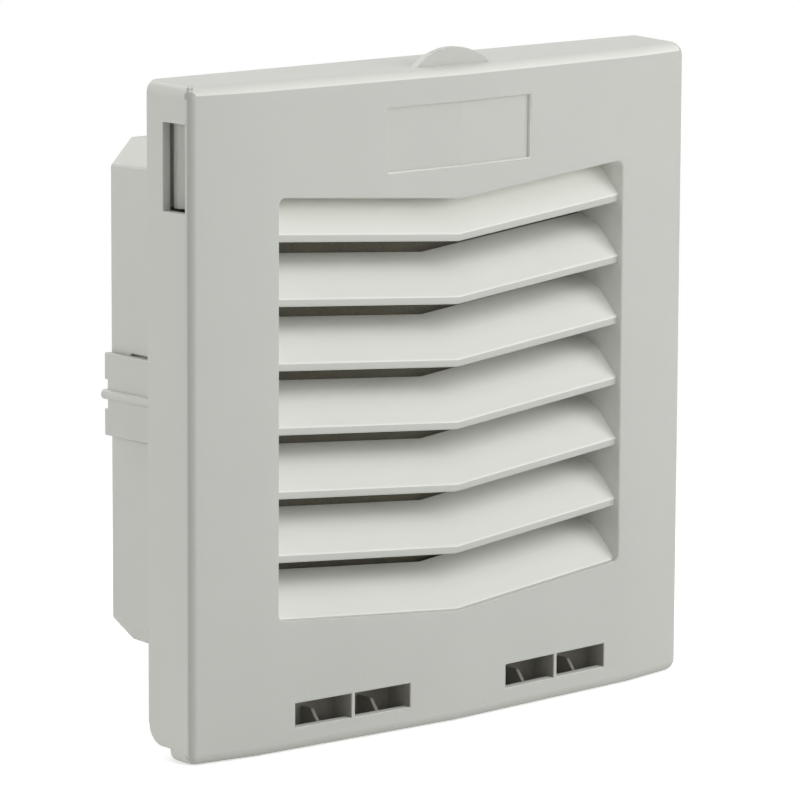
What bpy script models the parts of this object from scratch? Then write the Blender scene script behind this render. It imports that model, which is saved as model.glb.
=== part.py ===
"""Exhaust grille for the wall of an enclosure: a clip-in frame and duct, a filter mat and a hinged louvred cover.

Frame of the part: X to the right seen from outside the enclosure, Y into the enclosure, Z up.
The origin is the centre of the square panel cut-out, in the outer face of the panel. Lengths are in metres.
"""
import math

import bmesh
import bpy
from mathutils import Matrix, Vector

# Clearances
FIT = 0.0003                    # gap between two pieces that touch
RUNNING_GAP = 0.0004            # gap between the cover and what it closes over
BITE = 0.0006                   # how far a joined shape is sunk into the wall that carries it

# Cover
COVER_SIZE = 0.150              # outside width and height at the panel
COVER_WALL = 0.0022             # skirt
FACE_WALL = 0.0025              # front face
SIDE_DEPTH = 0.0144             # from the panel to the front corner of the skirt
FLANK_WIDTH = 0.0180            # sloping strip at each side of the face
FLANK_RISE = 0.0029             # how far the flank comes forward
CREASE_RISE = 0.0028            # how far the centre crease stands before the flanks
SIDE_DRAFT = 0.0002
TOP_DRAFT = 0.0006
TOP_ROUND = 0.0032              # front edge along the top
BOTTOM_ROUND = 0.0025           # front edge along the bottom
SIDE_ROUND = 0.0018             # front edge down each side
CORNER_ROUND = 0.0026           # the four corners seen from the front
LIP_HEIGHT = 0.0030             # the bottom wall stands this much below the side skirts
LIP_REAR = 0.0074               # the bottom wall ends this far before the panel
LIP_ROUND = 0.0012

# Panel
PANEL_OVERLAP = 0.0125          # the cover stands this far past the cut-out on each side

# Hinge of the cover
HINGE_FORWARD = 0.0048          # pin axis before the panel
HINGE_ABOVE_SKIRT = 0.0046      # pin axis above the lower edge of the side skirt
PIN_RADIUS = 0.0009
HOOK_RADIUS = 0.0021
HOOK_THICKNESS = 0.0018
HOOK_MOUTH = 0.0015             # slot through which the hook snaps over its pin
HOOK_MOUTH_ANGLE = -45.0        # it points down to the rear, in degrees
EAR_THICKNESS = 0.0016
EAR_ROOT_RISE = 0.0029          # root of the ear above the pin axis

# Louvres
OPENING_FROM_SIDE = 0.0229      # edge of the opening from the side of the cover
OPENING_FROM_TOP = 0.0303       # on the centre line
OPENING_FROM_BOTTOM = 0.0257    # on the centre line
OPENING_ROUND = 0.0016
VEE_SLOPE = 0.081               # everything in the louvre field falls towards the centre by this
TUNNEL_WALL = 0.0018
TUNNEL_REAR = 0.0026            # rear edge of the louvre tunnel before the panel
BLADE_COUNT = 7                 # the lowest one is the sill
FIRST_LIP_DROP = 0.0098         # lower edge of the top blade under the top of the opening
SILL_LIP_DROP = 0.0014          # lower edge of the sill under the bottom of the opening
LIP_SETBACK = 0.0014            # lip behind the face
LIP_FACE = 0.0014               # upright part of the lip
LIP_EDGE_ROUND = 0.0009
BLADE_WALL = 0.0018
RAMP_ANGLE = 45.0               # slope of the blade behind its lip, in degrees
RAMP_LENGTH = 0.0066
CURL_RADIUS = 0.0105            # the blade flattens on this radius
CURL_END_ANGLE = 20.0
TAIL_LENGTH = 0.0043

# Badge recess, left bare
BADGE_WIDTH = 0.0428
BADGE_HEIGHT = 0.0142
BADGE_FROM_TOP = 0.0086
BADGE_DEPTH = 0.0010

# Windows over the hinge hooks
HOOK_WINDOW_WIDTH = 0.0158
HOOK_WINDOW_HEIGHT = 0.0055
HOOK_WINDOW_BAR = 0.0011
HOOK_PAIR_FROM_SIDE = 0.0439    # centre of each pair from the side of the cover
HOOK_WINDOW_ABOVE = 0.0023      # lower edge above the floor of the cover
POCKET_WALL = 0.0015            # walls round the space behind each window
POCKET_ABOVE = 0.0004           # they end this much above the window
POCKET_ROUND = 0.0032           # rear corners of that space
GUSSET_WALL = 0.0009
GUSSET_HEIGHT = 0.0044
GUSSET_SHARE = 0.57             # place of the gusset along its window
GUSSET_RUN = 0.0040             # length of its slope

# Windows over the side latches
LATCH_WINDOW_REAR = 0.0055      # before the panel
LATCH_WINDOW_LENGTH = 0.0072
LATCH_WINDOW_HEIGHT = 0.0194
LATCH_WINDOW_FROM_TOP = 0.0087

# Thumb tab
TAB_WIDTH = 0.0220
TAB_HEIGHT = 0.0040
TAB_WALL = 0.0022
TAB_BEHIND_CREASE = 0.0039

# Mounting frame
FLANGE_WALL = 0.0021
FLANGE_OFF_PANEL = 0.0003
FLANGE_BOTTOM_MARGIN = 0.0042   # flange ends this much above the bottom of the cover
COLLAR_PLAY = 0.0005            # collar inside the cut-out
COLLAR_WALL = 0.0016
COLLAR_DEPTH = 0.0050
COLLAR_GAP_MARGIN = 0.0021      # gap in the collar beyond each end of a clip
DUCT_INSIDE_CUTOUT = 0.0037     # duct wall from the edge of the cut-out, in the panel's plane
DUCT_TAPER = 0.0013             # the duct draws in by this on each side towards the rear
DUCT_DEPTH = 0.0341             # behind the panel
DUCT_RIM = 0.0046               # duct wall before the panel
DUCT_WALL = 0.0020
DUCT_CHAMFER = 0.0058
LEDGE_WIDTH = 0.0022
LEDGE_WALL = 0.0016

# Gasket
GASKET_WIDTH = 0.0036
GASKET_FROM_CUTOUT = 0.0008
GASKET_GROOVE = 0.0011

# Filter mat and its support grid
MAT_THICKNESS = 0.0120
MAT_PLAY = 0.0006
MAT_FORWARD = 0.0022            # front of the mat before the panel
GRID_WALL = 0.0024
GRID_BORDER = 0.0030
GRID_BAR = 0.0018
GRID_BARS = 7

# Retaining clips
CLIP_HEIGHT = 0.0188
CLIP_PROUD = 0.00205            # beyond the duct wall at the rear
CLIP_WALL = 0.0015
CLIP_FRONT = 0.0022             # front face of the tooth behind the panel face
CLIP_ROOT_LENGTH = 0.0069       # the clip lies on the duct wall over this length at the rear
CLIP_RIB_RADIUS = 0.00115
CLIP_TOOTH_HALF_HEIGHT = 0.0062
CLIP_TOOTH_CATCH = 0.0015       # how far the tooth reaches past the cut-out
CLIP_TOOTH_RAMP = 0.0085
CLIP_TOOTH_LAND = 0.0012
CLIP_NOTCH_DEPTH = 0.0010
CLIP_NOTCH_HEIGHT = 0.0022
CLIP_WINDOW_MARGIN = 0.0003
CLIP_BACK_WALL = 0.0012         # wall that closes the slot behind the clip, from the ledge to its root
CLIP_BACK_DEPTH = 0.0006        # outer side of that wall under the duct's outer side at the rear

# Side latches
LATCH_WALL = 0.0016
LATCH_NOSE = 0.0014             # the nose stands out from the tongue by this
LATCH_MARGIN = 0.0004           # tongue shorter than its window at each end
LATCH_NOSE_LAND = 0.0018
LATCH_TIP = 0.0008              # blunt end of the tongue before the ramp of its nose

ARC_STEPS = 8                   # facets of a round edge
BEVEL_STEPS = 4
FLAT_CORNER = 80.0              # corners whose half angle is over this stay as they are, in degrees
SHARP_ANGLE = 30.0              # edges over this angle stay sharp, in degrees

# Places that follow from the sizes above
HALF = COVER_SIZE / 2
CUTOUT = COVER_SIZE - 2 * PANEL_OVERLAP
FLANK_X = HALF - FLANK_WIDTH
FLANK_DEPTH = SIDE_DEPTH + FLANK_RISE
CREASE_DEPTH = FLANK_DEPTH + CREASE_RISE
BEFORE_COVER = -2 * CREASE_DEPTH
SKIRT_BOTTOM = -HALF + LIP_HEIGHT
HINGE_Y = -HINGE_FORWARD
HINGE_Z = SKIRT_BOTTOM + HINGE_ABOVE_SKIRT
OPENING_HALF_WIDTH = HALF - OPENING_FROM_SIDE
OPENING_TOP = HALF - OPENING_FROM_TOP
OPENING_BOTTOM = -HALF + OPENING_FROM_BOTTOM
FIRST_LIP = OPENING_TOP - FIRST_LIP_DROP
BLADE_PITCH = (FIRST_LIP - OPENING_BOTTOM + SILL_LIP_DROP) / (BLADE_COUNT - 1)
HOOK_X = HALF - HOOK_PAIR_FROM_SIDE
HOOK_WINDOW_BOTTOM = SKIRT_BOTTOM + HOOK_WINDOW_ABOVE
POCKET_TOP = HOOK_WINDOW_BOTTOM + HOOK_WINDOW_HEIGHT + POCKET_ABOVE
LATCH_WINDOW_TOP = HALF - LATCH_WINDOW_FROM_TOP
LATCH_WINDOW_BOTTOM = LATCH_WINDOW_TOP - LATCH_WINDOW_HEIGHT
FLANGE_REAR_Y = -FLANGE_OFF_PANEL
FLANGE_FRONT_Y = FLANGE_REAR_Y - FLANGE_WALL
DUCT_HALF_FRONT = CUTOUT / 2 - DUCT_INSIDE_CUTOUT
DUCT_HALF_REAR = DUCT_HALF_FRONT - DUCT_TAPER
CLIP_ROOT = DUCT_DEPTH - CLIP_ROOT_LENGTH
CLIP_OUTER_X = DUCT_HALF_REAR + CLIP_PROUD
CLIP_INNER_X = CLIP_OUTER_X - CLIP_WALL
GRID_REAR_Y = MAT_THICKNESS - MAT_FORWARD + FIT + GRID_WALL
LEDGE_Y = GRID_REAR_Y + FIT


def face_y(x):
    """Depth of the outer front face at x, drawn on without the round side edges."""
    if abs(x) <= FLANK_X:
        return -CREASE_DEPTH + CREASE_RISE * abs(x) / FLANK_X
    return -FLANK_DEPTH + FLANK_RISE * (abs(x) - FLANK_X) / FLANK_WIDTH


def vee(x):
    """Rise of the louvre field at x above its lowest line, the centre line."""
    return VEE_SLOPE * abs(x)


def duct_half(y):
    """Half size of the duct's outside at depth y; the wall tapers for the mould."""
    return DUCT_HALF_FRONT - DUCT_TAPER * y / DUCT_DEPTH


def arc(centre, radius, start, end, steps=ARC_STEPS):
    """Points on an arc, angles in degrees."""
    points = []
    for i in range(steps + 1):
        a = math.radians(start + (end - start) * i / steps)
        points.append((centre[0] + radius * math.cos(a), centre[1] + radius * math.sin(a)))
    return points


def rounded(corners, radius, steps=ARC_STEPS // 2):
    """The polygon with each corner replaced by an arc that touches both sides."""
    points = []
    for i, corner in enumerate(corners):
        here = Vector(corner)
        before = (Vector(corners[i - 1]) - here).normalized()
        after = (Vector(corners[(i + 1) % len(corners)]) - here).normalized()
        half_angle = before.angle(after) / 2
        reach = radius / math.tan(half_angle)
        if half_angle > math.radians(FLAT_CORNER):
            points.append(tuple(here))
            continue
        centre = here + (before + after).normalized() * radius / math.sin(half_angle)
        first = here + before * reach - centre
        last = here + after * reach - centre
        for k in range(steps + 1):
            points.append(tuple(centre + first.lerp(last, k / steps).normalized() * radius))
    return points


def new_object(name, bm):
    """Object named name that holds the mesh of bm, with its faces turned outwards."""
    bmesh.ops.recalc_face_normals(bm, faces=bm.faces[:])
    mesh = bpy.data.meshes.new(name)
    bm.to_mesh(mesh)
    bm.free()
    obj = bpy.data.objects.new(name, mesh)
    bpy.context.scene.collection.objects.link(obj)
    return obj


def extruded(name, rings):
    """Closed solid through rings of the same number of points, capped at both ends."""
    bm = bmesh.new()
    loops = [[bm.verts.new(p) for p in ring] for ring in rings]
    for near, far in zip(loops, loops[1:]):
        for i in range(len(near)):
            j = (i + 1) % len(near)
            bm.faces.new((near[i], near[j], far[j], far[i]))
    bm.faces.new(loops[0][::-1])
    bm.faces.new(loops[-1])
    return new_object(name, bm)


def along_x(name, outline, x0, x1):
    """Outline of (y, z) points carried from x0 to x1."""
    return extruded(name, [[(x, y, z) for y, z in outline] for x in (x0, x1)])


def along_z(name, outline, z0, z1):
    """Outline of (x, y) points carried from z0 to z1."""
    return extruded(name, [[(x, y, z) for x, y in outline] for z in (z0, z1)])


def along_y(name, outline, front, rear):
    """Outline of (x, z) points between two depths, each a number or a function of x."""
    rings = []
    for depth in (front, rear):
        rings.append([(x, depth(x) if callable(depth) else depth, z) for x, z in outline])
    return extruded(name, rings)


def box(name, low, high):
    corners = ((low[0], low[2]), (high[0], low[2]), (high[0], high[2]), (low[0], high[2]))
    return along_y(name, corners, low[1], high[1])


def square(half_x, half_z=None):
    half_z = half_x if half_z is None else half_z
    return [(-half_x, -half_z), (half_x, -half_z), (half_x, half_z), (-half_x, half_z)]


def chamfered_square(half, chamfer):
    """Square outline with its corners cut at 45 degrees, from the lower left round to the left side."""
    near = half - chamfer
    quarter = [(-near, -half), (near, -half), (half, -near), (half, near)]
    return quarter + [(-x, -z) for x, z in quarter]


def joined(name, pieces):
    """One object that holds the meshes of several, which are removed."""
    bm = bmesh.new()
    for piece in pieces:
        bm.from_mesh(piece.data)
        bpy.data.objects.remove(piece)
    return new_object(name, bm)


def boolean(obj, other, operation):
    """Adds or cuts other, which stays in the scene as a hidden guide."""
    other.display_type = "WIRE"
    other.hide_render = True
    other.hide_set(True)
    modifier = obj.modifiers.new(other.name, "BOOLEAN")
    modifier.operation = operation
    modifier.object = other
    modifier.solver = "EXACT"
    return modifier


def add(obj, other):
    boolean(obj, other, "UNION")


def cut(obj, other):
    boolean(obj, other, "DIFFERENCE")


def weighted_bevel(obj, largest, radius_of_edge):
    """Rounds each edge by the radius that radius_of_edge gives for its two ends."""
    mesh = obj.data
    weights = mesh.attributes.new("bevel_weight_edge", "FLOAT", "EDGE")
    for edge in mesh.edges:
        a, b = (mesh.vertices[i].co for i in edge.vertices)
        weights.data[edge.index].value = radius_of_edge(a, b) / largest
    modifier = obj.modifiers.new("rounding", "BEVEL")
    modifier.limit_method = "WEIGHT"
    modifier.width = largest
    modifier.segments = BEVEL_STEPS
    modifier.use_clamp_overlap = False


def moved_origin(obj, point):
    """Puts the object's origin at point without moving its shape."""
    obj.data.transform(Matrix.Translation(-Vector(point)))
    obj.location = point


def on_axis(obj, name, point):
    """Hangs the object on an empty at its joint's axis."""
    axis = bpy.data.objects.new(name, None)
    bpy.context.scene.collection.objects.link(axis)
    axis.location = point
    moved_origin(obj, point)
    obj.parent = axis
    obj.location = (0, 0, 0)


def material(name, colour, roughness):
    result = bpy.data.materials.new(name)
    result.use_nodes = True
    shader = result.node_tree.nodes["Principled BSDF"]
    shader.inputs["Base Color"].default_value = (*colour, 1.0)
    shader.inputs["Roughness"].default_value = roughness
    shader.inputs["Metallic"].default_value = 0.0
    return result


def face_outline(inset=0.0):
    """Seven points of the cover seen from above, or the same drawn in by a wall."""
    side = HALF - inset
    front = FACE_WALL if inset else 0.0
    right = [(FLANK_X, -FLANK_DEPTH + front), (side - SIDE_DRAFT, -SIDE_DEPTH + front)]
    rear = BITE if inset else 0.0
    left = [(-x, y) for x, y in reversed(right)]
    return [(-side, rear)] + left + [(0.0, -CREASE_DEPTH + front)] + right + [(side, rear)]


def cover_blank():
    """Outside of the cover as a solid block, with its round front edges and corners."""
    blank = along_z("cover_blank", face_outline(), -HALF, HALF)
    for vertex in blank.data.vertices:
        if vertex.co.z > 0 and vertex.co.y < 0:
            vertex.co.z -= TOP_DRAFT

    def radius(a, b):
        level = (a.z + b.z) / 2
        if a.y == b.y == 0.0:
            return 0.0
        if a.y < 0 and b.y < 0:
            if abs(a.z - b.z) > HALF:
                return SIDE_ROUND if abs(a.x) > FLANK_X + BITE else 0.0
            return TOP_ROUND if level > 0 else BOTTOM_ROUND
        return CORNER_ROUND

    weighted_bevel(blank, TOP_ROUND, radius)
    return blank


def cavity():
    """Inside of the cover, open to the rear."""
    hollow = along_z("cover_cavity", face_outline(COVER_WALL), SKIRT_BOTTOM, HALF - COVER_WALL)
    for vertex in hollow.data.vertices:
        if vertex.co.z > 0 and vertex.co.y < 0:
            vertex.co.z -= TOP_DRAFT
    return hollow


def skirt_relief():
    """What is cut from below behind the lip, so that the skirt can roll about the hinge pins."""
    below = -HALF - BITE
    beyond = 2 * BITE
    turn = HINGE_ABOVE_SKIRT
    outline = [(beyond, below), (-LIP_REAR, below), (-LIP_REAR, SKIRT_BOTTOM)]
    outline += arc((HINGE_Y, HINGE_Z), turn, -90, 0)
    outline += [(beyond, HINGE_Z)]
    return along_x("skirt_relief", outline, -HALF - BITE, HALF + BITE)


def lip_round():
    """Rounds the rear lower edge of the lip."""
    corner = Vector((-LIP_REAR, -HALF))
    centre = (corner.x - LIP_ROUND, corner.y + LIP_ROUND)
    outline = arc(centre, LIP_ROUND, -90, 0, ARC_STEPS // 2)
    outline += [(corner.x + BITE, corner.y + LIP_ROUND), (corner.x + BITE, corner.y - BITE)]
    outline += [(corner.x - LIP_ROUND, corner.y - BITE)]
    return along_x("lip_round", outline, -HALF - BITE, HALF + BITE)


def opening_outline(grow=0.0):
    """Louvre opening, or the tunnel wall round it."""
    side = OPENING_HALF_WIDTH + grow
    top = OPENING_TOP + grow
    bottom = OPENING_BOTTOM - grow
    return [(-side, bottom + vee(side)), (0.0, bottom), (side, bottom + vee(side)),
            (side, top + vee(side)), (0.0, top), (-side, top + vee(side))]


def blade_profile():
    """Section of a blade as (back, up) from the lower front edge of its lip."""
    turn = RAMP_ANGLE
    edge = arc((LIP_EDGE_ROUND, LIP_FACE), LIP_EDGE_ROUND, 180, 180 - (90 - turn), ARC_STEPS // 2)
    ramp = Vector((math.cos(math.radians(turn)), math.sin(math.radians(turn))))
    ramp_top = Vector(edge[-1]) + ramp * RAMP_LENGTH
    curl_centre = ramp_top + Vector((ramp.y, -ramp.x)) * CURL_RADIUS
    curl = arc(curl_centre, CURL_RADIUS, 90 + turn, 90 + CURL_END_ANGLE, ARC_STEPS // 2)
    inner_curl = arc(curl_centre, CURL_RADIUS - BLADE_WALL, 90 + CURL_END_ANGLE, 90 + turn, ARC_STEPS // 2)
    tail = Vector((math.cos(math.radians(CURL_END_ANGLE)), math.sin(math.radians(CURL_END_ANGLE)))) * TAIL_LENGTH
    heel = Vector(inner_curl[-1]) - ramp * (inner_curl[-1][1] / ramp.y)
    upper = [(0.0, 0.0)] + edge + curl + [tuple(Vector(curl[-1]) + tail)]
    lower = [tuple(Vector(inner_curl[0]) + tail)] + inner_curl + [tuple(heel)]
    return upper + lower


def blades():
    """All louvre blades, bent at the centre line like the face, ending inside the tunnel walls."""
    end = OPENING_HALF_WIDTH + BITE
    profile = blade_profile()
    made = []
    for i in range(BLADE_COUNT):
        rings = []
        for x in (-end, 0.0, end):
            front = face_y(x) + LIP_SETBACK
            base = FIRST_LIP - i * BLADE_PITCH + vee(x)
            rings.append([(x, front + back, base + up) for back, up in profile])
        made.append(extruded("blade", rings))
    return joined("louvre_blades", made)


def badge_recess():
    top = HALF - BADGE_FROM_TOP
    bottom = top - BADGE_HEIGHT
    half = BADGE_WIDTH / 2
    outline = [(-half, bottom), (0.0, bottom), (half, bottom), (half, top), (0.0, top), (-half, top)]
    return along_y("badge_recess", outline, BEFORE_COVER, lambda x: face_y(x) + BADGE_DEPTH)


def hook_window_edges():
    """Left edges of the four windows near the bottom."""
    step = HOOK_WINDOW_WIDTH + HOOK_WINDOW_BAR
    edges = []
    for centre in (-HOOK_X, HOOK_X):
        first = centre - HOOK_WINDOW_BAR / 2 - HOOK_WINDOW_WIDTH
        edges += [first, first + step]
    return edges


def hook_windows():
    made = []
    for left in hook_window_edges():
        low = (left, BEFORE_COVER, HOOK_WINDOW_BOTTOM)
        high = (left + HOOK_WINDOW_WIDTH, -SIDE_DEPTH + FACE_WALL, HOOK_WINDOW_BOTTOM + HOOK_WINDOW_HEIGHT)
        made.append(box("window", low, high))
    return joined("hook_windows", made)


def hook_pockets():
    """Boxes behind the windows, open at the top, with the hinge hooks on their rear walls."""
    floor = SKIRT_BOTTOM - BITE
    half = HOOK_WINDOW_WIDTH + HOOK_WINDOW_BAR / 2 + POCKET_WALL
    made = []
    for centre in (-HOOK_X, HOOK_X):
        low, high = centre - half, centre + half
        outline = [(low, floor), (high, floor), (high, POCKET_TOP), (low, POCKET_TOP)]
        made.append(along_y("pocket", outline, lambda x: face_y(x) + FACE_WALL - BITE, -LIP_REAR))
    pockets = joined("hook_pockets", made)
    add(pockets, hinge_hooks())
    rear = -LIP_REAR - POCKET_WALL
    hollows = []
    for left in hook_window_edges():
        right = left + HOOK_WINDOW_WIDTH
        corners = [(left, BEFORE_COVER), (right, BEFORE_COVER), (right, rear), (left, rear)]
        hollows.append(along_z("hollow", rounded(corners, POCKET_ROUND), SKIRT_BOTTOM, POCKET_TOP + BITE))
    cut(pockets, joined("pocket_hollows", hollows))
    return pockets


def gussets():
    """Thin ribs that rise from the floor of the cover to the pocket walls."""
    floor = SKIRT_BOTTOM - BITE
    rear = -LIP_REAR - POCKET_WALL + BITE
    top = SKIRT_BOTTOM + GUSSET_HEIGHT
    made = []
    for left in hook_window_edges():
        x = left + GUSSET_SHARE * HOOK_WINDOW_WIDTH
        front = face_y(x) + FACE_WALL - BITE
        outline = [(front, floor), (rear, floor), (rear, top), (front + GUSSET_RUN, top)]
        made.append(along_x("gusset", outline, x, x + GUSSET_WALL))
    return joined("gussets", made)


def latch_windows():
    made = []
    for side in (-1, 1):
        near, far = sorted((side * (HALF - 2 * COVER_WALL), side * (HALF + BITE)))
        low = (near, -LATCH_WINDOW_REAR - LATCH_WINDOW_LENGTH, LATCH_WINDOW_BOTTOM)
        made.append(box("window", low, (far, -LATCH_WINDOW_REAR, LATCH_WINDOW_TOP)))
    return joined("latch_windows", made)


def thumb_tab():
    """Half-moon lug on the top edge, by which the cover is pulled open."""
    front = -CREASE_DEPTH + TAB_BEHIND_CREASE
    base = HALF - TOP_DRAFT
    half = TAB_WIDTH / 2
    radius = (half ** 2 + TAB_HEIGHT ** 2) / (2 * TAB_HEIGHT)
    start = math.degrees(math.asin(half / radius))
    outline = arc((0.0, base + TAB_HEIGHT - radius), radius, 90 - start, 90 + start, 2 * ARC_STEPS)
    outline += [(-half, base - BITE), (half, base - BITE)]
    return along_y("thumb_tab", outline, front, front + TAB_WALL)


def hinge_hooks():
    """Arms in line with the bars between the windows; each ends in an open hook round its pin."""
    made = []
    for centre in (-HOOK_X, HOOK_X):
        front = face_y(centre) + FACE_WALL - BITE
        outline = arc((HINGE_Y, HINGE_Z), HOOK_RADIUS, 90, -90, 2 * ARC_STEPS)
        outline += [(front, HINGE_Z - HOOK_RADIUS), (front, HINGE_Z + HOOK_RADIUS)]
        made.append(along_x("hook", outline, centre - HOOK_THICKNESS / 2, centre + HOOK_THICKNESS / 2))
    return joined("hinge_hooks", made)


def hook_bores():
    """Seats for the pins with the mouths through which they snap in, pointing down to the rear."""
    radius = PIN_RADIUS + FIT
    half_mouth = HOOK_MOUTH / 2
    turn = math.degrees(math.asin(half_mouth / radius))
    mouth = HOOK_MOUTH_ANGLE
    outline = arc((0.0, 0.0), radius, mouth + turn, mouth + 360 - turn, 3 * ARC_STEPS)
    reach = Vector((math.cos(math.radians(mouth)), math.sin(math.radians(mouth)))) * 2 * HOOK_RADIUS
    outline += [tuple(Vector(outline[-1]) + reach), tuple(Vector(outline[0]) + reach)]
    outline = [(HINGE_Y + y, HINGE_Z + z) for y, z in outline]
    end = HOOK_X + HOOK_THICKNESS
    return along_x("hook_bores", outline, -end, end)


def louvre_cover(finish):
    cover = cover_blank()
    cover.name = "louvre_cover"
    cut(cover, cavity())
    tunnel = along_y("louvre_tunnel", opening_outline(TUNNEL_WALL),
                     lambda x: face_y(x) + FACE_WALL / 2, -TUNNEL_REAR)
    add(cover, tunnel)
    cut(cover, along_y("louvre_opening", rounded(opening_outline(), OPENING_ROUND), BEFORE_COVER, BITE))
    add(cover, blades())
    add(cover, hook_pockets())
    cut(cover, hook_bores())
    cut(cover, hook_windows())
    add(cover, gussets())
    cut(cover, latch_windows())
    cut(cover, skirt_relief())
    cut(cover, lip_round())
    cut(cover, badge_recess())
    add(cover, thumb_tab())
    on_axis(cover, "cover_hinge_axis", (0.0, HINGE_Y, HINGE_Z))
    cover.data.materials.append(finish)


def duct_walls():
    """Tapered square tube with 45 degree corners, carried a little before the flange as a rim."""
    rings = []
    for y in (-DUCT_RIM, DUCT_DEPTH):
        half = duct_half(y)
        rings.append([(x, y, z) for x, z in chamfered_square(half, DUCT_CHAMFER)])
    return extruded("duct_walls", rings)


def duct_bore():
    rings = []
    for y in (-DUCT_RIM - BITE, DUCT_DEPTH + BITE):
        half = duct_half(y) - DUCT_WALL
        rings.append([(x, y, z) for x, z in chamfered_square(half, DUCT_CHAMFER - DUCT_WALL / 2)])
    return extruded("duct_bore", rings)


def grid_ledge():
    """Ring inside the duct on which the support grid seats."""
    outer = duct_half(LEDGE_Y) - DUCT_WALL + BITE
    inner = outer - BITE - LEDGE_WIDTH
    chamfer = DUCT_CHAMFER - DUCT_WALL / 2
    ledge = along_y("grid_ledge", chamfered_square(outer, chamfer), LEDGE_Y, LEDGE_Y + LEDGE_WALL)
    hole = along_y("ledge_hole", chamfered_square(inner, chamfer), LEDGE_Y - BITE, LEDGE_Y + LEDGE_WALL + BITE)
    cut(ledge, hole)
    return ledge


def collar():
    """Wall that centres the frame in the cut-out, open where the clips stand."""
    outer = CUTOUT / 2 - COLLAR_PLAY
    ring = along_y("collar", square(outer), FLANGE_REAR_Y - BITE, COLLAR_DEPTH)
    cut(ring, along_y("collar_hole", square(outer - COLLAR_WALL), FLANGE_REAR_Y - 2 * BITE, COLLAR_DEPTH + BITE))
    half_gap = CLIP_HEIGHT / 2 + COLLAR_GAP_MARGIN
    low = (-outer - BITE, FLANGE_REAR_Y, -half_gap)
    cut(ring, box("collar_gap", low, (outer + BITE, COLLAR_DEPTH + BITE, half_gap)))
    return ring


def gasket_ring(name, margin, front, rear):
    """Square ring round the cut-out; margin widens it for the groove."""
    inner = CUTOUT / 2 + GASKET_FROM_CUTOUT - margin
    outer = CUTOUT / 2 + GASKET_FROM_CUTOUT + GASKET_WIDTH + margin
    ring = along_y(name, square(outer), front, rear)
    cut(ring, along_y(name + "_hole", square(inner), front - BITE, rear + BITE))
    return ring


def hinge_ears():
    """Two ears and a pin for each hook, standing on the front of the flange."""
    made = []
    root = FLANGE_FRONT_Y + BITE
    for centre in (-HOOK_X, HOOK_X):
        near = HOOK_THICKNESS / 2 + RUNNING_GAP
        for side in (-1, 1):
            x0, x1 = sorted((centre + side * near, centre + side * (near + EAR_THICKNESS)))
            outline = arc((HINGE_Y, HINGE_Z), HOOK_RADIUS, 270, 90, 2 * ARC_STEPS)
            outline += [(root, HINGE_Z + EAR_ROOT_RISE), (root, HINGE_Z - HOOK_RADIUS)]
            made.append(along_x("ear", outline, x0, x1))
    return joined("hinge_ears", made)


def hinge_pins():
    made = []
    for centre in (-HOOK_X, HOOK_X):
        half = HOOK_THICKNESS / 2 + RUNNING_GAP + EAR_THICKNESS / 2
        outline = arc((HINGE_Y, HINGE_Z), PIN_RADIUS, 0, 360, 4 * ARC_STEPS)[:-1]
        made.append(along_x("pin", outline, centre - half, centre + half))
    return joined("hinge_pins", made)


def clip_windows():
    """Slots in the duct's side walls into which the clips spring."""
    half = CLIP_HEIGHT / 2 + CLIP_WINDOW_MARGIN
    inner = duct_half(0.0) - DUCT_WALL - 2 * BITE
    made = []
    for side in (-1, 1):
        near, far = sorted((side * inner, side * (CLIP_OUTER_X + BITE)))
        made.append(box("slot", (near, CLIP_FRONT - 2 * FIT, -half), (far, CLIP_ROOT - FIT, half)))
    return joined("clip_windows", made)


def clip_backs():
    """Walls across the slots behind the ledge, far enough in for the clips to spring."""
    outer = DUCT_HALF_REAR - CLIP_BACK_DEPTH
    half = CLIP_HEIGHT / 2 + CLIP_WINDOW_MARGIN + CLIP_BACK_WALL
    made = []
    for side in (-1, 1):
        near, far = sorted((side * (outer - CLIP_BACK_WALL), side * outer))
        made.append(box("clip_back", (near, LEDGE_Y + BITE, -half), (far, CLIP_ROOT + CLIP_BACK_WALL, half)))
    return joined("clip_backs", made)


def mounting_frame(finish):
    """Flange, collar, tapered duct with its ledge, and the hinge ears and pins, moulded as one."""
    side = HALF - COVER_WALL - SIDE_DRAFT - RUNNING_GAP
    top = HALF - COVER_WALL - TOP_DRAFT - RUNNING_GAP
    bottom = -HALF + FLANGE_BOTTOM_MARGIN
    outline = [(-side, bottom), (side, bottom), (side, top), (-side, top)]
    frame = along_y("mounting_frame", outline, FLANGE_FRONT_Y, FLANGE_REAR_Y)
    groove = gasket_ring("gasket_groove", FIT, FLANGE_REAR_Y - GASKET_GROOVE, FLANGE_REAR_Y + BITE)
    cut(frame, groove)
    add(frame, duct_walls())
    cut(frame, duct_bore())
    add(frame, collar())
    cut(frame, clip_windows())
    add(frame, clip_backs())
    add(frame, grid_ledge())
    add(frame, hinge_ears())
    add(frame, hinge_pins())
    frame.data.materials.append(finish)


def panel_gasket(finish):
    gasket = gasket_ring("panel_gasket", 0.0, FLANGE_REAR_Y - GASKET_GROOVE + FIT, 0.0)
    gasket.data.materials.append(finish)


def filter_mat(finish):
    rear = MAT_THICKNESS - MAT_FORWARD
    half = duct_half(rear) - DUCT_WALL - MAT_PLAY
    mat = along_y("filter_mat", chamfered_square(half, DUCT_CHAMFER - DUCT_WALL / 2), -MAT_FORWARD, rear)
    mat.data.materials.append(finish)


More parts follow.
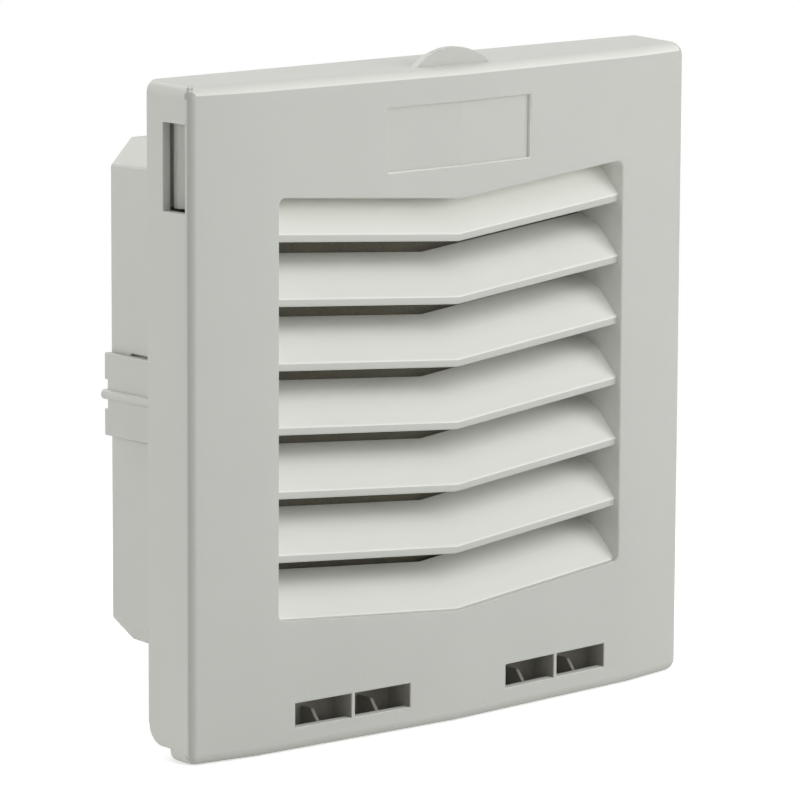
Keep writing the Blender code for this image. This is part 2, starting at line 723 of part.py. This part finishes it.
def support_grid(finish):
    """Grid behind the mat, seated on the ledge of the duct."""
    half = duct_half(GRID_REAR_Y) - DUCT_WALL - FIT
    front = GRID_REAR_Y - GRID_WALL
    chamfer = DUCT_CHAMFER - DUCT_WALL / 2
    grid = along_y("filter_support_grid", chamfered_square(half, chamfer), front, GRID_REAR_Y)
    field = 2 * (half - GRID_BORDER)
    hole = (field - (GRID_BARS - 1) * GRID_BAR) / GRID_BARS
    step = hole + GRID_BAR
    made = []
    for row in range(GRID_BARS):
        for column in range(GRID_BARS):
            x = -field / 2 + column * step
            z = -field / 2 + row * step
            made.append(box("hole", (x, front - BITE, z), (x + hole, GRID_REAR_Y + BITE, z + hole)))
    cut(grid, joined("grid_holes", made))
    grid.data.materials.append(finish)


def retaining_clip(name, side, finish):
    """Spring finger in the side of the duct: root at the rear, tooth behind the panel at the front."""
    tooth_tip = CUTOUT / 2 + CLIP_TOOTH_CATCH
    half = CLIP_HEIGHT / 2
    plate = [(CLIP_INNER_X, CLIP_FRONT), (CLIP_OUTER_X, CLIP_FRONT), (CLIP_OUTER_X, DUCT_DEPTH),
             (CLIP_INNER_X, DUCT_DEPTH)]
    tooth_rear = CLIP_FRONT + CLIP_TOOTH_LAND
    tooth = [(CLIP_OUTER_X - BITE, CLIP_FRONT), (tooth_tip, CLIP_FRONT), (tooth_tip, tooth_rear),
             (CLIP_OUTER_X - BITE, tooth_rear + CLIP_TOOTH_RAMP)]
    clip = along_z(name, [(side * x, y) for x, y in plate], -half, half)
    add(clip, along_z(name + "_tooth", [(side * x, y) for x, y in tooth],
                      -CLIP_TOOTH_HALF_HEIGHT, CLIP_TOOTH_HALF_HEIGHT))
    start, end = (90, -90) if side > 0 else (90, 270)
    rib_outline = arc((side * CLIP_OUTER_X, 0.0), CLIP_RIB_RADIUS, start, end, 2 * ARC_STEPS)
    rib_outline += [(side * (CLIP_OUTER_X - BITE), -CLIP_RIB_RADIUS), (side * (CLIP_OUTER_X - BITE), CLIP_RIB_RADIUS)]
    add(clip, along_y(name + "_rib", rib_outline, tooth_rear, DUCT_DEPTH))
    notches = []
    for up in (-1, 1):
        z0, z1 = sorted((up * CLIP_RIB_RADIUS, up * (CLIP_RIB_RADIUS + CLIP_NOTCH_HEIGHT)))
        near, far = sorted((side * (CLIP_INNER_X - BITE), side * (CLIP_OUTER_X + BITE)))
        notches.append(box("notch", (near, DUCT_DEPTH - CLIP_NOTCH_DEPTH, z0), (far, DUCT_DEPTH + BITE, z1)))
    cut(clip, joined(name + "_notches", notches))
    axis = (side * (CLIP_INNER_X + CLIP_OUTER_X) / 2, (CLIP_ROOT + DUCT_DEPTH) / 2, 0.0)
    on_axis(clip, name + "_axis", axis)
    clip.data.materials.append(finish)


def side_latch(name, side, finish):
    """Spring tongue on the flange whose nose lies behind the window in the cover's skirt."""
    outer = HALF - COVER_WALL - SIDE_DRAFT - RUNNING_GAP - LATCH_NOSE
    inner = outer - LATCH_WALL
    root = FLANGE_FRONT_Y - FIT
    tip = -SIDE_DEPTH + FACE_WALL + RUNNING_GAP
    nose_rear = -LATCH_WINDOW_REAR - FIT
    outline = [(inner, root), (outer, root), (outer, nose_rear), (outer + LATCH_NOSE, nose_rear),
               (outer + LATCH_NOSE, nose_rear - LATCH_NOSE_LAND), (outer, tip + LATCH_TIP),
               (outer - LATCH_WALL / 2, tip), (inner, tip)]
    z0 = LATCH_WINDOW_BOTTOM + LATCH_MARGIN
    z1 = LATCH_WINDOW_TOP - LATCH_MARGIN
    latch = along_z(name, [(side * x, y) for x, y in outline], z0, z1)
    on_axis(latch, name + "_axis", (side * (inner + outer) / 2, root, (z0 + z1) / 2))
    latch.data.materials.append(finish)


def smooth_round_pieces():
    """Round stretches are shaded smooth and the sharp edges stay sharp."""
    for obj in bpy.context.scene.objects:
        if obj.type == "MESH":
            obj.data.shade_smooth()
            obj.data.set_sharp_from_angle(angle=math.radians(SHARP_ANGLE))


def build():
    for obj in list(bpy.context.scene.objects):
        bpy.data.objects.remove(obj)
    housing = material("moulded_light_grey_abs", (0.55, 0.56, 0.52), 0.5)
    foam = material("gasket_foam", (0.03, 0.03, 0.03), 0.9)
    fibre = material("filter_fibre", (0.62, 0.62, 0.58), 0.95)
    louvre_cover(housing)
    mounting_frame(housing)
    panel_gasket(foam)
    filter_mat(fibre)
    support_grid(housing)
    for name, side in (("left", -1), ("right", 1)):
        retaining_clip("retaining_clip_" + name, side, housing)
        side_latch("side_latch_" + name, side, housing)
    smooth_round_pieces()


build()
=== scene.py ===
"""Looks of the exhaust grille: finishes, finer edges, the fibre of the mat, a plain studio and the camera."""

import math

import bmesh
import bpy
from mathutils import Matrix, Vector, noise


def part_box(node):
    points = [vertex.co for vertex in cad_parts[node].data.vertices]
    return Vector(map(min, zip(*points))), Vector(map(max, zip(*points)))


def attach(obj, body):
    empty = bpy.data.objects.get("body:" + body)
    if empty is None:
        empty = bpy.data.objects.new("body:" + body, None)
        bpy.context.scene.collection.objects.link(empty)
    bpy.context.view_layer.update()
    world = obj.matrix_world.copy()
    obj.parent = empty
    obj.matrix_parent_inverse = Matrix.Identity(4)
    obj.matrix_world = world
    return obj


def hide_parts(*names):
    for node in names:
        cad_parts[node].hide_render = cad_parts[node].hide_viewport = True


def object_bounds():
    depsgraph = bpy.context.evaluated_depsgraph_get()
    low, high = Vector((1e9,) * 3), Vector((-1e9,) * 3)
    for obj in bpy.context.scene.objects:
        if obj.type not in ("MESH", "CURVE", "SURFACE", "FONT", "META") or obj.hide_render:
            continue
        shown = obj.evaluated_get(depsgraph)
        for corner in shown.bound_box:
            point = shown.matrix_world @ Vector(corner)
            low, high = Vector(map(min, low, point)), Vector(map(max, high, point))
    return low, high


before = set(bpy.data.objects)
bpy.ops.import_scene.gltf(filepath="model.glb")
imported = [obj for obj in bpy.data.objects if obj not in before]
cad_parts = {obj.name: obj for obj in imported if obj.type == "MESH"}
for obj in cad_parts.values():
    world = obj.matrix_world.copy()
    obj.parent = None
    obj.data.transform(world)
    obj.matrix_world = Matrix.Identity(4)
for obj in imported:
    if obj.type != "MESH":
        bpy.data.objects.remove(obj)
cad_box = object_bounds()

MM = 0.001

# Soft boxes as (name, azimuth, elevation, size in metres, watts). The photo's own light comes from above,
# from the right in front and from the left behind, and the edges that face the camera are the darkest.
LAMP_DISTANCE = 1.3
LAMPS = (
    ("above_in_front", 0.0, 55.0, 0.9, 4.4),
    ("above_behind", 180.0, 45.0, 0.9, 7.7),
    ("in_front", 0.0, 12.0, 0.8, 3.8),
    ("left_in_front", -50.0, 12.0, 0.8, 1.3),
    ("right_in_front", 40.0, 12.0, 0.8, 9.1),
    ("left_behind", -135.0, 12.0, 1.0, 7.2),
)
FILL_LIGHT = 0.12

# The floor shows a shadow near the object and is plain white from FADE_END on
FLOOR_HALF = 3.0
FLOOR_DROP = 0.2 * MM
FLOOR_GLOW = 0.5
FADE_START = 0.12
FADE_END = 0.40

# Camera of the photograph, from a fit of the model's edges to it, in degrees and metres. The lens is in mm.
CAMERA_AZIMUTH = -41.975
CAMERA_ELEVATION = 9.795
CAMERA_ROLL = 0.268
CAMERA_DISTANCE = 1214.35 * MM
CAMERA_TARGET = Vector((-0.872, 0.0, -3.533)) * MM
CAMERA_LENS = 240.05
CAMERA_SENSOR = 36.0

# Widths of the rounds that a mould leaves on outer edges and the CAD keeps sharp
COVER_EDGE = 0.35 * MM
FRAME_EDGE = 0.30 * MM
THIN_EDGE = 0.15 * MM
WIDE_EDGE = 0.75 * MM
WINDOW_RIM = 0.30 * MM
LEAST_ROUND = 0.03 * MM

# An outer edge is rounded where its faces turn by more than SHARP. Once the rounds are made, an edge that
# turns by more than STEEP is shaded as a sharp one. Faces that turn by less than FLAT count as one face, and
# two faces that are wider than BROAD always meet in a sharp edge.
SHARP = math.radians(28.0)
STEEP = math.radians(65.0)
FLAT = math.radians(0.15)
BROAD = 5.0 * MM
WELD = 0.002 * MM

# A round takes this share of the room up to the next rounded edge, and edges that turn by less than RUNS_ON
# where they meet are one line
HALF_EDGE = 0.45
RUNS_ON = math.radians(35.0)

# Front of the cover: half its width, its depth at the side, at the inner edge of the flank and at the centre
# crease, and the width of the flank
HALF = max(v.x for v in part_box("louvre_cover"))
SIDE_DEPTH = 14.4 * MM
FLANK_DEPTH = 17.3 * MM
CREASE_DEPTH = -min(v.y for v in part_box("louvre_cover"))
FLANK_WIDTH = 18.0 * MM

# Finishes of the cover: depth of the grained front, height of the round at the top, how far the normal of a
# face has to lean forwards or up to be part of a round, and how far forwards on the upright front of a lip.
# The top and its round are drawn in a lighter copy of the grey as painted light, and the upright fronts of
# the lips in the darker copy of the front as painted shade.
FRONT, SMOOTH_PAINTED_LIGHT, SIDE, POCKET_SHADE = range(4)
SKIN = 1.2 * MM
TOP_ROUND = 4.0 * MM
LEANS = 0.2
UPRIGHT = 0.97

# Places on the cover: top of the hinge pockets and depth of their rim, half the width of the badge recess,
# the band that holds its lower rim, how far in its left rim may lie, and how far a rim lies behind the front.
# Faces in the pockets deeper than their rim are drawn in a dark copy of the grey: painted shade.
POCKET_TOP = -61.0 * MM
RIM_DEPTH = 2.6 * MM
BADGE_HALF = 22.0 * MM
BADGE_FLOOR = 50.0 * MM
BADGE_BAND = 5.0 * MM
BADGE_SLACK = 1.0 * MM
RIM_SLACK = 0.1 * MM

# Felt of the mat: size of its mesh, round of its rims, and width and depth of its slow lumps and its tufts
FELT_VOXEL = 1.3 * MM
FELT_EDGE = 1.4 * MM
FELT_LUMPS = 7.0 * MM
FELT_LUMP_DEPTH = 0.35 * MM
FELT_TUFTS = 1.9 * MM
FELT_TUFT_DEPTH = 0.18 * MM

# Moulded plastic: width of the clouds that the flow leaves, their darkest and lightest share of the colour,
# and how far the roughness falls and rises with the grain
FLOW_WIDTH = 14.0 * MM
FLOW_DARK = 0.965
FLOW_LIGHT = 1.02
GLOSS_FALL = 0.05
GLOSS_RISE = 0.07
ABS_IOR = 1.54

# Fibres of the mat and cells of the foam, both drawn coarser than real ones, so that they show
FIBRE_GAP = 1.1 * MM
FIBRE_CRIMP = 3.0 * MM
FIBRE_DEPTH = 0.4 * MM
FOAM_CELL = 0.5 * MM
FOAM_PIT = 0.12 * MM

# Colours, as sRGB
# Darker copy of the cover's grey, on its grained front and the upright fronts of the lips: painted shade
ABS_FACE_PAINTED_SHADE = "B3B4AF"
# Lighter copy of the same grey, on the top, the blades, the rounds and the openings: painted light
ABS_SMOOTH_PAINTED_LIGHT = "DBDCD6"
ABS_FRAME = "CDCDC7"
# Dark copy of the cover's grey, deep in its pockets: painted shade
ABS_POCKET_SHADE = "8F8D84"
# The mat is drawn dark so that it reads as the shade between the blades: painted shade
FIBRE_PAINTED_SHADE = "5E5B4E"
FOAM = "26272A"
FLOOR = "F4F4F2"


def linear(hex_colour):
    """sRGB hex digits as linear red, green, blue and alpha."""
    channels = []
    for i in (0, 2, 4):
        c = int(hex_colour[i:i + 2], 16) / 255
        channels.append(c / 12.92 if c <= 0.04045 else ((c + 0.055) / 1.055) ** 2.4)
    return (*channels, 1.0)


def shaded(colour, share):
    """A linear colour made darker or lighter by a share."""
    return (*(c * share for c in colour[:3]), 1.0)


def add_node(tree, kind, links=None, **settings):
    """A node with its settings and its inputs; an input is a value or another node's output."""
    node = tree.nodes.new(kind)
    for name, value in settings.items():
        setattr(node, name, value)
    for name, value in (links or {}).items():
        socket = node.inputs[name]
        if isinstance(value, bpy.types.NodeSocket):
            tree.links.new(value, socket)
        else:
            socket.default_value = value
    return node


def new_material(name):
    """Empty material and its tree with the Principled shader linked to the output."""
    material = bpy.data.materials.new(name)
    material.use_nodes = True
    tree = material.node_tree
    tree.nodes.clear()
    shader = add_node(tree, "ShaderNodeBsdfPrincipled")
    add_node(tree, "ShaderNodeOutputMaterial", {"Surface": shader.outputs["BSDF"]})
    return material, tree, shader


def moulded_abs(name, colour, grain, depth, roughness, specular):
    """Injection-moulded ABS. The mould's surface gives it a fine even grain, so light spreads softly over it,
    with a slight cloudiness where the melt flowed. Grain is the width of the marks in metres. It is drawn
    coarser than a real mould leaves it, so that it shows."""
    material, tree, shader = new_material(name)
    place = add_node(tree, "ShaderNodeTexCoord").outputs["Object"]
    marks = add_node(tree, "ShaderNodeTexNoise",
                     {"Vector": place, "Scale": 0.5 / grain, "Detail": 3.0, "Roughness": 0.6}).outputs["Fac"]
    flow = add_node(tree, "ShaderNodeTexNoise", {"Vector": place, "Scale": 0.5 / FLOW_WIDTH, "Detail": 2.0})
    low = shaded(linear(colour), FLOW_DARK)
    high = shaded(linear(colour), FLOW_LIGHT)
    cloud = add_node(tree, "ShaderNodeMix", {"Factor": flow.outputs["Fac"], "A": low, "B": high},
                     data_type="RGBA")
    tree.links.new(cloud.outputs["Result"], shader.inputs["Base Color"])
    gloss = add_node(tree, "ShaderNodeMapRange",
                     {"Value": marks, "From Min": 0.3, "From Max": 0.7,
                      "To Min": roughness - GLOSS_FALL, "To Max": roughness + GLOSS_RISE})
    tree.links.new(gloss.outputs["Result"], shader.inputs["Roughness"])
    bump = add_node(tree, "ShaderNodeBump", {"Height": marks, "Distance": depth, "Strength": 0.6})
    tree.links.new(bump.outputs["Normal"], shader.inputs["Normal"])
    shader.inputs["IOR"].default_value = ABS_IOR
    shader.inputs["Specular IOR Level"].default_value = specular
    return material


def needled_fibre(name):
    """Needled polyester. Loose crimped fibres scatter light, and the small gaps between them are drawn
    darker: painted shade.
    """
    material, tree, shader = new_material(name)
    place = add_node(tree, "ShaderNodeTexCoord").outputs["Object"]
    crimp = add_node(tree, "ShaderNodeTexNoise", {"Vector": place, "Scale": 0.5 / FIBRE_CRIMP, "Detail": 2.0})
    bent = add_node(tree, "ShaderNodeMix", {"Factor": 0.012, "A": place, "B": crimp.outputs["Color"]},
                    data_type="VECTOR")
    fibres = add_node(tree, "ShaderNodeTexVoronoi",
                      {"Vector": bent.outputs["Result"], "Scale": 1 / FIBRE_GAP}, feature="DISTANCE_TO_EDGE")
    height = add_node(tree, "ShaderNodeMapRange",
                      {"Value": fibres.outputs["Distance"], "From Min": 0.0, "From Max": 0.35,
                       "To Min": 1.0, "To Max": 0.72}).outputs["Result"]
    light = linear(FIBRE_PAINTED_SHADE)
    colour = add_node(tree, "ShaderNodeMix", {"Factor": height, "A": shaded(light, 0.62), "B": light},
                      data_type="RGBA")
    tree.links.new(colour.outputs["Result"], shader.inputs["Base Color"])
    bump = add_node(tree, "ShaderNodeBump", {"Height": height, "Distance": FIBRE_DEPTH, "Strength": 0.8})
    tree.links.new(bump.outputs["Normal"], shader.inputs["Normal"])
    shader.inputs["Roughness"].default_value = 0.95
    shader.inputs["Sheen Weight"].default_value = 0.15
    return material


def cell_foam(name):
    """Closed-cell rubber foam. Cut cells show as fine pits in a dull black skin, and the pits are drawn
    darker: painted shade.
    """
    material, tree, shader = new_material(name)
    place = add_node(tree, "ShaderNodeTexCoord").outputs["Object"]
    voronoi = add_node(tree, "ShaderNodeTexVoronoi", {"Vector": place, "Scale": 1 / FOAM_CELL})
    cells = voronoi.outputs["Distance"]
    base = linear(FOAM)
    colour = add_node(tree, "ShaderNodeMix", {"Factor": cells, "A": shaded(base, 0.5), "B": base},
                      data_type="RGBA")
    tree.links.new(colour.outputs["Result"], shader.inputs["Base Color"])
    bump = add_node(tree, "ShaderNodeBump", {"Height": cells, "Distance": FOAM_PIT, "Strength": 0.7})
    tree.links.new(bump.outputs["Normal"], shader.inputs["Normal"])
    shader.inputs["Roughness"].default_value = 0.88
    return material


def linked(name, bm, *materials):
    """New object at the origin that holds the mesh of bm."""
    mesh = bpy.data.meshes.new(name)
    bm.to_mesh(mesh)
    bm.free()
    for material in materials:
        mesh.materials.append(material)
    piece = bpy.data.objects.new(name, mesh)
    bpy.context.scene.collection.objects.link(piece)
    return piece


def merged(node):
    """Bmesh of a CAD node with its loose triangles welded and its flat faces whole again."""
    bm = bmesh.new()
    bm.from_mesh(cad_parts[node].data)
    bmesh.ops.remove_doubles(bm, verts=bm.verts[:], dist=WELD)
    bmesh.ops.recalc_face_normals(bm, faces=bm.faces[:])
    bmesh.ops.dissolve_limit(bm, angle_limit=FLAT, verts=bm.verts[:], edges=bm.edges[:], delimit={"NORMAL"})
    return bm


def worked(block):
    """Bmesh of the block with its modifiers applied. The block itself is taken away."""
    ready = block.evaluated_get(bpy.context.evaluated_depsgraph_get())
    bm = bmesh.new()
    bm.from_mesh(ready.to_mesh())
    ready.to_mesh_clear()
    bpy.data.objects.remove(block)
    return bm


def side_room(line, face, rounded):
    """How wide a round along the line may grow over the face before it runs out of the edges beside it."""
    room = math.inf
    for vert in line.verts:
        beside = next(e for e in face.edges if e is not line and vert in e.verts)
        along = line.other_vert(vert).co - vert.co
        out = beside.other_vert(vert).co - vert.co
        angle = along.angle(out)
        if beside in rounded:
            room = min(room, HALF_EDGE * min(along.length, out.length) * math.tan(angle / 2))
        else:
            met = any(e in rounded for e in beside.other_vert(vert).link_edges)
            room = min(room, (HALF_EDGE if met else 2 * HALF_EDGE) * out.length * math.sin(angle))
    return room


def whole_run(first, rounded):
    """The rounded edges that run on from the first one in a line, with itself."""
    run = {first}
    ends = [first]
    while ends:
        line = ends.pop()
        for vert in line.verts:
            along = vert.co - line.other_vert(vert).co
            for other in vert.link_edges:
                if other in rounded and other not in run:
                    if along.angle(other.other_vert(vert).co - vert.co) < RUNS_ON:
                        run.add(other)
                        ends.append(other)
    return run


def line_rounds(rounded, widest):
    """Width of the round of each edge. Edges that run on in one line get the width of the narrowest one."""
    widths = {}
    for first in rounded:
        if first not in widths:
            run = whole_run(first, rounded)
            width = min(min(side_room(e, f, rounded) for f in e.link_faces) for e in run)
            for line in run:
                widths[line] = min(width, widest) if width > LEAST_ROUND else 0.0
    return widths


def rounded_mesh(bm, name, edge, wide):
    """The mesh of bm with its outer edges rounded, and sharp where faces meet without a round."""
    weight = bm.edges.layers.float["bevel_weight_edge"]
    rounded = {e for e in bm.edges if e.is_manifold and e.is_convex and e.calc_face_angle() > SHARP}
    for line, width in line_rounds(rounded, edge).items():
        special = wide(line) if wide else 0.0
        line[weight] = (special or width) / WIDE_EDGE
    for line in bm.edges:
        broad = all(f.calc_area() > BROAD * max(e.calc_length() for e in f.edges) for f in line.link_faces)
        angle = line.calc_face_angle(0.0)
        line.smooth = not (broad and angle > FLAT or angle > SHARP and line[weight] == 0.0)
    block = linked(name, bm)
    bevel = block.modifiers.new("mould_rounds", "BEVEL")
    bevel.width = WIDE_EDGE
    bevel.segments = 2
    bevel.limit_method = "WEIGHT"
    bevel.use_clamp_overlap = False
    bm = worked(block)
    for line in bm.edges:
        if line.calc_face_angle(0.0) > STEEP:
            line.smooth = False
    return bm


def softened(node, piece_name, body, slot, edge, *materials, choose=None, wide=None):
    """The CAD node with the small round that a mould gives each outer edge, as wide as its faces have room.
    choose picks each face's material, and wide gives the width of the rounds that differ, or 0."""
    bm = merged(node)
    bm.edges.layers.float.new("bevel_weight_edge")
    for face in bm.faces:
        face.smooth = True
        face.material_index = choose(face) if choose else 0
    bm = rounded_mesh(bm, piece_name + "_block", edge, wide)
    piece = linked(piece_name, bm, *materials)
    even = piece.modifiers.new("flat_faces", "WEIGHTED_NORMAL")
    even.keep_sharp = True
    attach(piece, body)
    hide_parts(node)


def face_depth(x):
    """How far the front of the cover stands before the panel at x."""
    x = abs(x)
    flank = HALF - FLANK_WIDTH
    if x < flank:
        return CREASE_DEPTH + (FLANK_DEPTH - CREASE_DEPTH) * x / flank
    return FLANK_DEPTH + (SIDE_DEPTH - FLANK_DEPTH) * (x - flank) / FLANK_WIDTH


def cover_finish(face):
    """Which of the cover's four finishes a face takes: the grained front of the cover and its upright lips,
    in a darker copy of the grey as painted shade; its top, blades and openings, in a lighter copy as painted
    light;
    its satin sides; and the rough inside of the pockets, in a dark copy as painted shade."""
    centre = face.calc_center_median()
    turned = face.normal.y < -LEANS
    if face.normal.z > LEANS and abs(face.normal.x) < LEANS and centre.z > HALF - TOP_ROUND:
        return SMOOTH_PAINTED_LIGHT
    if turned and -centre.y > face_depth(centre.x) - SKIN:
        return FRONT
    if max(abs(centre.x), abs(centre.z)) > HALF - SKIN and centre.normalized().dot(face.normal) > 0:
        return FRONT if turned else SIDE
    if centre.z < POCKET_TOP and -centre.y < face_depth(centre.x) - RIM_DEPTH:
        return POCKET_SHADE
    return FRONT if face.normal.y < -UPRIGHT else SMOOTH_PAINTED_LIGHT


def cover_rim(line):
    """Width of the round of the lower and left rim of the badge recess and of the window rims, else 0."""
    for vert in line.verts:
        if -vert.co.y < face_depth(vert.co.x) - RIM_SLACK or abs(vert.co.x) > HALF - FLANK_WIDTH:
            return 0.0
    if all(-HALF + TOP_ROUND < v.co.z < POCKET_TOP for v in line.verts):
        return WINDOW_RIM
    lower = all(BADGE_FLOOR < v.co.z < BADGE_FLOOR + BADGE_BAND for v in line.verts)
    beside = all(v.co.x < BADGE_SLACK - BADGE_HALF for v in line.verts)
    left = beside and all(BADGE_FLOOR < v.co.z < HALF - TOP_ROUND for v in line.verts)
    return WIDE_EDGE if lower or left else 0.0


def felt_mat(material):
    """Felt slab in the space of the CAD mat: rounded rims, slow lumps and short tufts."""
    bm = merged("filter_mat")
    rims = [e for e in bm.edges if e.is_manifold and e.calc_face_angle() > SHARP]
    bmesh.ops.bevel(bm, geom=rims, offset=FELT_EDGE, offset_type="OFFSET", affect="EDGES", segments=3,
                    profile=0.5, material=-1, clamp_overlap=True)
    block = linked("felt_block", bm)
    remesh = block.modifiers.new("felt_skin", "REMESH")
    remesh.mode = "VOXEL"
    remesh.voxel_size = FELT_VOXEL
    felt = worked(block)
    felt.normal_update()
    deepest = FELT_LUMP_DEPTH + FELT_TUFT_DEPTH
    for vert in felt.verts:
        lump = noise.noise(vert.co / FELT_LUMPS) * FELT_LUMP_DEPTH
        tuft = noise.noise(vert.co / FELT_TUFTS) * FELT_TUFT_DEPTH
        vert.co += vert.normal * (lump + tuft - deepest)
    for face in felt.faces:
        face.smooth = True
    mat = linked("needled_felt_mat", felt, material)
    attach(mat, "frame")
    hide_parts("filter_mat")


def paint(node, material):
    """Gives a CAD node that stays in view its finish."""
    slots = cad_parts[node].data.materials
    slots.clear()
    slots.append(material)


def direction(azimuth, elevation):
    """Unit vector towards a place seen at azimuth from the front and at elevation, in degrees."""
    a = math.radians(azimuth)
    e = math.radians(elevation)
    return Vector((math.sin(a) * math.cos(e), -math.cos(a) * math.cos(e), math.sin(e)))


def shown_rays(tree):
    """1 for the rays that show the background: those of the camera, of a gloss and through a clear piece."""
    path = add_node(tree, "ShaderNodeLightPath").outputs
    direct = add_node(tree, "ShaderNodeMath", {0: path["Is Camera Ray"], 1: path["Is Glossy Ray"]},
                      operation="MAXIMUM")
    shown = add_node(tree, "ShaderNodeMath", {0: direct.outputs["Value"], 1: path["Is Transmission Ray"]},
                     operation="MAXIMUM")
    return shown.outputs["Value"]


def studio_floor():
    """Pale matt floor that keeps the object's shadow and fades to white."""
    material, tree, shader = new_material("studio_floor_paint")
    shader.inputs["Base Color"].default_value = linear(FLOOR)
    shader.inputs["Roughness"].default_value = 0.9
    shown = shown_rays(tree)
    place = add_node(tree, "ShaderNodeTexCoord").outputs["Object"]
    reach = add_node(tree, "ShaderNodeVectorMath", {0: place}, operation="LENGTH").outputs["Value"]
    fade = add_node(tree, "ShaderNodeMapRange",
                    {"Value": reach, "From Min": FADE_START, "From Max": FADE_END},
                    interpolation_type="SMOOTHSTEP").outputs["Result"]
    glow = add_node(tree, "ShaderNodeEmission", {"Strength": FLOOR_GLOW}).outputs["Emission"]
    white = add_node(tree, "ShaderNodeEmission", {"Strength": 1.0}).outputs["Emission"]
    lit = add_node(tree, "ShaderNodeAddShader", {0: shader.outputs["BSDF"], 1: glow}).outputs["Shader"]
    faded = add_node(tree, "ShaderNodeMixShader", {"Fac": fade, 1: lit, 2: white}).outputs["Shader"]
    both = add_node(tree, "ShaderNodeMixShader", {"Fac": shown, 1: shader.outputs["BSDF"], 2: faded})
    output = next(n for n in tree.nodes if n.type == "OUTPUT_MATERIAL")
    tree.links.new(both.outputs["Shader"], output.inputs["Surface"])
    bm = bmesh.new()
    bmesh.ops.create_grid(bm, x_segments=1, y_segments=1, size=FLOOR_HALF)
    bmesh.ops.translate(bm, verts=bm.verts[:], vec=(0.0, 0.0, cad_box[0].z - FLOOR_DROP))
    linked("studio_floor", bm, material)


def surroundings():
    """World that is white to look at and gives the object only a weak fill light."""
    world = bpy.data.worlds.new("studio_world")
    bpy.context.scene.world = world
    world.use_nodes = True
    sky = world.node_tree
    sky.nodes.clear()
    strength = add_node(sky, "ShaderNodeMapRange",
                        {"Value": shown_rays(sky), "To Min": FILL_LIGHT, "To Max": 1.0}).outputs["Result"]
    background = add_node(sky, "ShaderNodeBackground", {"Color": (1.0, 1.0, 1.0, 1.0), "Strength": strength})
    add_node(sky, "ShaderNodeOutputWorld", {"Surface": background.outputs["Background"]})


def soft_boxes():
    """Square lamps around the object, each turned to the origin."""
    for name, azimuth, elevation, size, power in LAMPS:
        lamp = bpy.data.lights.new(name, "AREA")
        lamp.shape = "SQUARE"
        lamp.size = size
        lamp.energy = power
        holder = bpy.data.objects.new(name, lamp)
        bpy.context.scene.collection.objects.link(holder)
        place = direction(azimuth, elevation)
        holder.location = place * LAMP_DISTANCE
        holder.rotation_euler = place.to_track_quat("Z", "Y").to_euler()


def camera():
    """Camera of the photograph."""
    roll = math.radians(CAMERA_ROLL)
    back = direction(CAMERA_AZIMUTH, CAMERA_ELEVATION)
    level = (-back).cross(Vector((0.0, 0.0, 1.0))).normalized()
    rise = level.cross(-back)
    right = math.cos(roll) * level + math.sin(roll) * rise
    up = -math.sin(roll) * level + math.cos(roll) * rise
    data = bpy.data.cameras.new("photo_camera")
    data.lens = CAMERA_LENS
    data.sensor_width = CAMERA_SENSOR
    data.clip_start = 0.05
    data.clip_end = 20.0
    holder = bpy.data.objects.new("photo_camera", data)
    bpy.context.scene.collection.objects.link(holder)
    turn = Matrix((right, up, back)).transposed().to_4x4()
    holder.matrix_world = Matrix.Translation(CAMERA_TARGET + back * CAMERA_DISTANCE) @ turn
    bpy.context.scene.camera = holder


# Mould eroded by sparks: a grain that can be seen, and a dull face that takes a soft light. Its colour is a
# darker copy of the cover's grey: painted shade.
face_painted_shade_finish = moulded_abs("eroded_grey_abs_painted_shade", ABS_FACE_PAINTED_SHADE, 0.45 * MM, 0.08 * MM, 0.62, 0.3)

# Smoothed mould: hardly any grain, on the top, the blades and the rounds, which are drawn in a lighter copy
# of
# the same grey than the face: painted light.
smooth_painted_light_finish = moulded_abs("smooth_grey_abs_painted_light", ABS_SMOOTH_PAINTED_LIGHT, 0.8 * MM, 0.015 * MM, 0.6, 0.18)

# Rough faces left by the mould's cores deep inside the cover, drawn in a dark copy of the grey: painted shade
pocket_shade_finish = moulded_abs("pocket_grey_abs_painted_shade", ABS_POCKET_SHADE, 0.7 * MM, 0.10 * MM, 0.75, 0.2)

# Satin mould: an even sheen over large plain walls
frame_finish = moulded_abs("satin_light_grey_abs", ABS_FRAME, 0.6 * MM, 0.02 * MM, 0.45, 0.4)

mat_finish = needled_fibre("needled_polyester_fibre")
foam_finish = cell_foam("closed_cell_rubber_foam")

softened("louvre_cover", "moulded_louvre_cover", "cover", "moulded_cover", COVER_EDGE, face_painted_shade_finish,
         smooth_painted_light_finish, frame_finish, pocket_shade_finish, choose=cover_finish, wide=cover_rim)
softened("mounting_frame", "moulded_mounting_frame", "frame", "moulded_frame", FRAME_EDGE, frame_finish)
for side in ("left", "right"):
    softened("retaining_clip_" + side, "moulded_clip_" + side, "clip_" + side, "moulded_frame", THIN_EDGE,
             frame_finish)
    softened("side_latch_" + side, "moulded_latch_" + side, "latch_" + side, "moulded_frame", THIN_EDGE,
             frame_finish)
felt_mat(mat_finish)
paint("filter_support_grid", frame_finish)
paint("panel_gasket", foam_finish)

studio_floor()
surroundings()
soft_boxes()
camera()
bpy.context.scene.view_settings.view_transform = "Standard"
